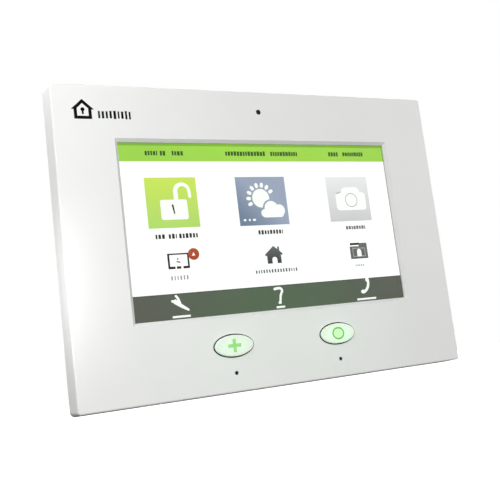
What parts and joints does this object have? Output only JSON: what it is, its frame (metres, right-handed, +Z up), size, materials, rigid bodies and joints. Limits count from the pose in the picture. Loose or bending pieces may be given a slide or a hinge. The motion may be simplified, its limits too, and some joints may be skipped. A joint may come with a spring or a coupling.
{
  "type": "alarm keypad panel",
  "caption": "Wall-mounted alarm keypad panel: white rectangular case with a wide touch screen, oval emergency and home buttons, a pinhole camera and a hook-on wall plate.",
  "frame": {"origin": "on the wall plane, at the centre of the wall plate's four screw holes, behind the middle of the case", "axes": "+X to the right as a person faces the panel, +Y into the wall, +Z up; the screen faces -Y"},
  "size_m": [0.2168, 0.0251, 0.1546],
  "materials": {
    "case_white": "smooth white moulded plastic, low sheen",
    "shell_white": "fine textured white moulded plastic",
    "screw_steel": "zinc-plated",
    "black_foam": "closed-cell foam",
    "white_foam": "closed-cell foam",
    "screen_glass": "hardened, polished",
    "lcd_film": "lit display surface",
    "light_guide": "diffusing acrylic and films",
    "led_strip": "potted LED packages",
    "bright_steel": "tinned sheet steel",
    "amber_flex": "polyimide film",
    "grey_alloy": "die cast",
    "button_white": "translucent white, lit from behind",
    "symbol_green": "translucent green insert",
    "circuit_board": "solder mask",
    "black_plastic": "moulded",
    "chip_black": "moulded epoxy",
    "black_rubber": "silicone",
    "camera_glass": "coated, polished",
    "terminal_green": "moulded",
    "speaker_paper": "treated paper",
    "battery_wrap": "shrink film",
    "connector_white": "nylon",
    "lead_red": "insulated wire"
  },
  "bodies": {
    "wall_mount": {"wall_plate": "shell_white"},
    "panel": {"back_shell": "shell_white", "backlight_led_bar": "led_strip", "backlight_unit": "light_guide", "battery_foam": "black_foam", "battery_lead": "lead_red", "battery_pack": "battery_wrap", "battery_plug": "connector_white", "battery_socket": "connector_white", "board_screws": "screw_steel", "button_leds": "led_strip", "camera_board": "circuit_board", "camera_flex": "amber_flex", "camera_lens": "camera_glass", "camera_module": "black_plastic", "camera_window": "camera_glass", "case_screws": "screw_steel", "cell_antenna": "circuit_board", "cellular_card": "circuit_board", "cellular_socket": "black_plastic", "chassis_screws": "screw_steel", "clock_battery": "bright_steel", "flex_connectors": "black_plastic", "front_bezel": "case_white", "keypad_board": "circuit_board", "keypad_flex": "amber_flex", "keypad_screws": "screw_steel", "lcd_flex": "amber_flex", "lcd_frame": "bright_steel", "lcd_panel": "lcd_film", "main_board": "circuit_board", "memory_card_slot": "bright_steel", "memory_chips": "chip_black", "microphone_boots": "black_rubber", "microphones": "bright_steel", "mid_chassis": "grey_alloy", "power_coils": "chip_black", "processor": "chip_black", "screen_gasket": "white_foam", "sensor_radio_card": "circuit_board", "shield_cans": "bright_steel", "siren": "black_plastic", "speaker_cone": "speaker_paper", "speaker_enclosure": "black_plastic", "speaker_gasket": "black_foam", "tact_switches": "black_plastic", "tamper_switch": "black_plastic", "terminal_block": "terminal_green", "terminal_screws": "screw_steel", "touch_glass": "screen_glass", "wifi_antenna": "circuit_board"},
    "emergency_key": {"emergency_button": "button_white", "emergency_symbol": "symbol_green", "emergency_switch_plunger": "black_plastic"},
    "home_key": {"home_button": "button_white", "home_symbol": "symbol_green", "home_switch_plunger": "black_plastic"},
    "tamper_pin": {"tamper_plunger": "shell_white"},
    "battery_hatch": {"battery_door": "shell_white"}
  },
  "joints": [
    {"name": "panel_lift", "type": "slide", "parent": "wall_mount", "child": "panel", "axis": [0, 0, 1], "range_m": [0, 0.004]},
    {"name": "emergency_button_press", "type": "slide", "parent": "panel", "child": "emergency_key", "axis": [0, 1, 0], "range_m": [0, 0.0005], "stiffness_N_per_m": 3000},
    {"name": "home_button_press", "type": "slide", "parent": "panel", "child": "home_key", "axis": [0, 1, 0], "range_m": [0, 0.0005], "stiffness_N_per_m": 3000},
    {"name": "tamper_plunger_press", "type": "slide", "parent": "panel", "child": "tamper_pin", "axis": [0, -1, 0], "range_m": [0, 0.0008], "stiffness_N_per_m": 300},
    {"name": "battery_door_slide", "type": "slide", "parent": "panel", "child": "battery_hatch", "axis": [0, 0, 1], "range_m": [0, 0.009]}
  ]
}
